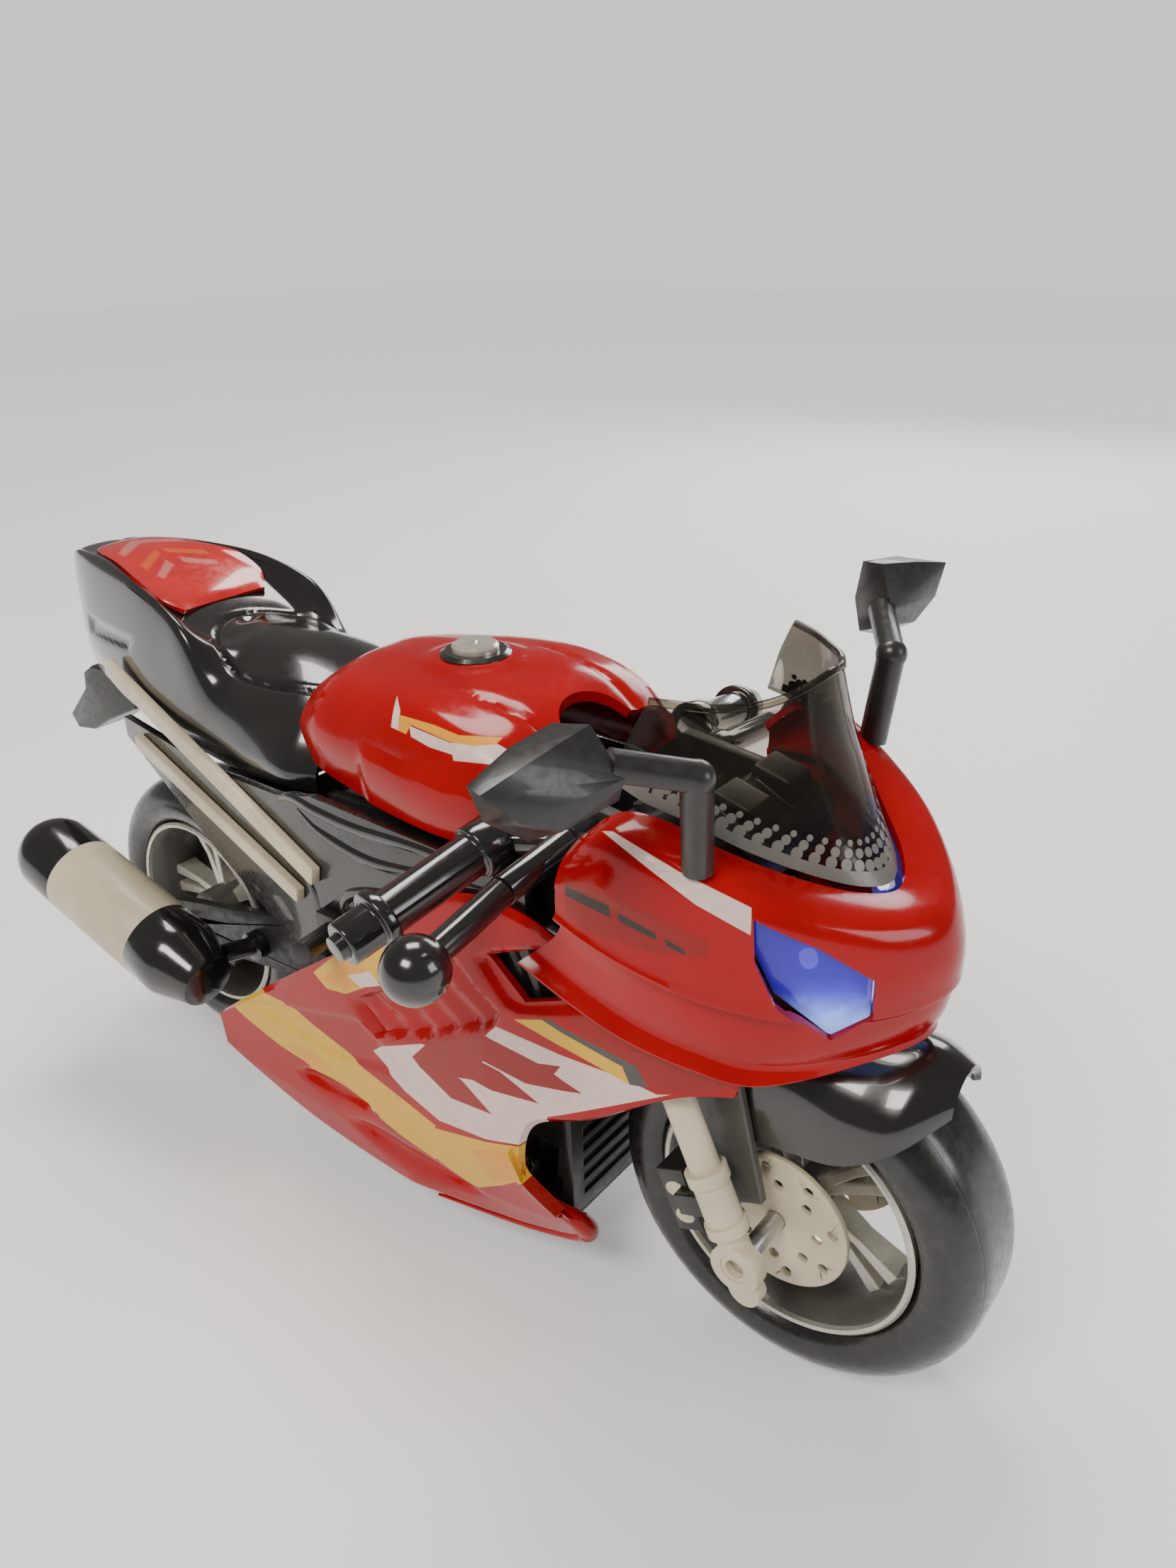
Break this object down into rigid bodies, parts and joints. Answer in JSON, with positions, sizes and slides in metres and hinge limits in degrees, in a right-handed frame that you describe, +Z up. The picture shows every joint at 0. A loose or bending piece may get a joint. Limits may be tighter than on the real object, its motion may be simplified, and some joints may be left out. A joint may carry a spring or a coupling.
{
  "type": "rc_motorcycle",
  "caption": "Red and black radio-controlled toy sport motorcycle with faired body, smoked windscreen, blue headlights, fork steering, silver side exhaust and folding stand",
  "frame": {"origin": "ground plane under the middle of the overall length and width", "axes": "+X forward, +Y to the rider's left, +Z up"},
  "size_m": [0.292, 0.1396, 0.1565],
  "materials": {
    "black_plastic": "satin",
    "gloss_black": "gloss",
    "red_gloss": "gloss",
    "smoke_clear": "clear",
    "lens_blue": "clear",
    "chromed": "polished",
    "led_white": "gloss",
    "cream_plastic": "satin",
    "silver_plastic": "satin",
    "steel": "brushed",
    "motor_can": "satin",
    "gear_nylon": "satin",
    "brass_gear": "machined",
    "battery_wrap": "gloss",
    "spring_metal": "plated",
    "board_green": "gloss",
    "speaker_black": "matte",
    "tyre_rubber": "satin",
    "rim_grey": "satin"
  },
  "bodies": {
    "chassis": {"frame_right": "black_plastic", "frame_left": "black_plastic", "radiator_panel": "black_plastic", "belly_pan": "black_plastic", "battery_door": "black_plastic", "batteries": "battery_wrap", "battery_contacts": "spring_metal", "circuit_board": "board_green", "speaker": "speaker_black", "drive_motor": "motor_can", "steering_motor": "motor_can", "gearbox_case": "black_plastic", "gearbox_cover": "black_plastic", "swingarm_right": "black_plastic", "nose_cowl": "red_gloss", "windscreen": "smoke_clear", "headlight_lenses": "lens_blue", "headlight_reflectors": "chromed", "headlight_leds": "led_white", "side_fairing_right": "red_gloss", "side_fairing_left": "red_gloss", "vent_grilles": "black_plastic", "side_covers": "gloss_black", "seat_rails": "cream_plastic", "tank_cover": "red_gloss", "cap_ring": "gloss_black", "seat_unit": "gloss_black", "tail_cover": "red_gloss", "rear_mudguard": "black_plastic", "exhaust_barrel": "cream_plastic", "exhaust_end_cap": "gloss_black", "exhaust_header": "gloss_black", "footpegs": "black_plastic", "mirror_housings": "black_plastic", "mirror_stalks": "black_plastic", "mirror_glasses": "chromed", "instrument_panel": "black_plastic", "case_screws": "steel", "handlebars": "black_plastic", "grips": "gloss_black", "switch_case": "black_plastic"},
    "steering": {"steering_stem": "black_plastic", "fork_legs": "cream_plastic", "front_fender": "gloss_black", "brake_calipers": "black_plastic", "front_axle": "steel"},
    "front_wheel": {"front_tyre": "tyre_rubber", "front_rim": "rim_grey", "brake_discs": "cream_plastic"},
    "servo": {"servo_gear": "gear_nylon"},
    "rear_wheel": {"rear_tyre": "tyre_rubber", "rear_rim": "rim_grey", "rear_axle": "steel", "axle_gear": "gear_nylon"},
    "idler": {"idler_gear": "gear_nylon"},
    "pinion": {"motor_pinion": "brass_gear"},
    "tank_button": {"cap_button": "silver_plastic"},
    "switch": {"power_slider": "black_plastic"},
    "stand": {"side_stand": "black_plastic"}
  },
  "joints": [
    {"name": "steering_turn", "type": "hinge", "parent": "chassis", "child": "steering", "pos_m": [0.10095, 0, 0.03842], "axis": [-0.4163, 0, 0.9092], "range_deg": [-15, 15]},
    {"name": "front_wheel_spin", "type": "hinge", "parent": "steering", "child": "front_wheel", "pos_m": [0.1055, 0, 0.0405], "axis": [0, 1, 0], "continuous": true},
    {"name": "servo_turn", "type": "hinge", "parent": "chassis", "child": "servo", "pos_m": [0.08786, 0, 0.03242], "axis": [-0.4163, 0, 0.9092], "range_deg": [-30, 30]},
    {"name": "rear_wheel_spin", "type": "hinge", "parent": "chassis", "child": "rear_wheel", "pos_m": [-0.0845, 0, 0.0405], "axis": [0, 1, 0], "continuous": true},
    {"name": "idler_spin", "type": "hinge", "parent": "chassis", "child": "idler", "pos_m": [-0.05697, 0, 0.05475], "axis": [0, 1, 0], "continuous": true},
    {"name": "pinion_spin", "type": "hinge", "parent": "chassis", "child": "pinion", "pos_m": [-0.033, 0, 0.056], "axis": [0, 1, 0], "continuous": true},
    {"name": "tank_button_press", "type": "slide", "parent": "chassis", "child": "tank_button", "axis": [0, 0, -1], "range_m": [0, 0.0012], "stiffness_N_per_m": 200, "springref_m": -0.0002},
    {"name": "power_switch_slide", "type": "slide", "parent": "chassis", "child": "switch", "axis": [1, 0, 0], "range_m": [0, 0.004]},
    {"name": "stand_fold", "type": "hinge", "parent": "chassis", "child": "stand", "pos_m": [-0.02, 0.0364, 0.026], "axis": [0, 1, 0], "range_deg": [0, 70]}
  ],
  "couplings": [
    {"joint": "servo_turn", "follows": "steering_turn", "ratio": -2},
    {"joint": "idler_spin", "follows": "rear_wheel_spin", "ratio": -3.4286},
    {"joint": "pinion_spin", "follows": "rear_wheel_spin", "ratio": 10.286}
  ]
}
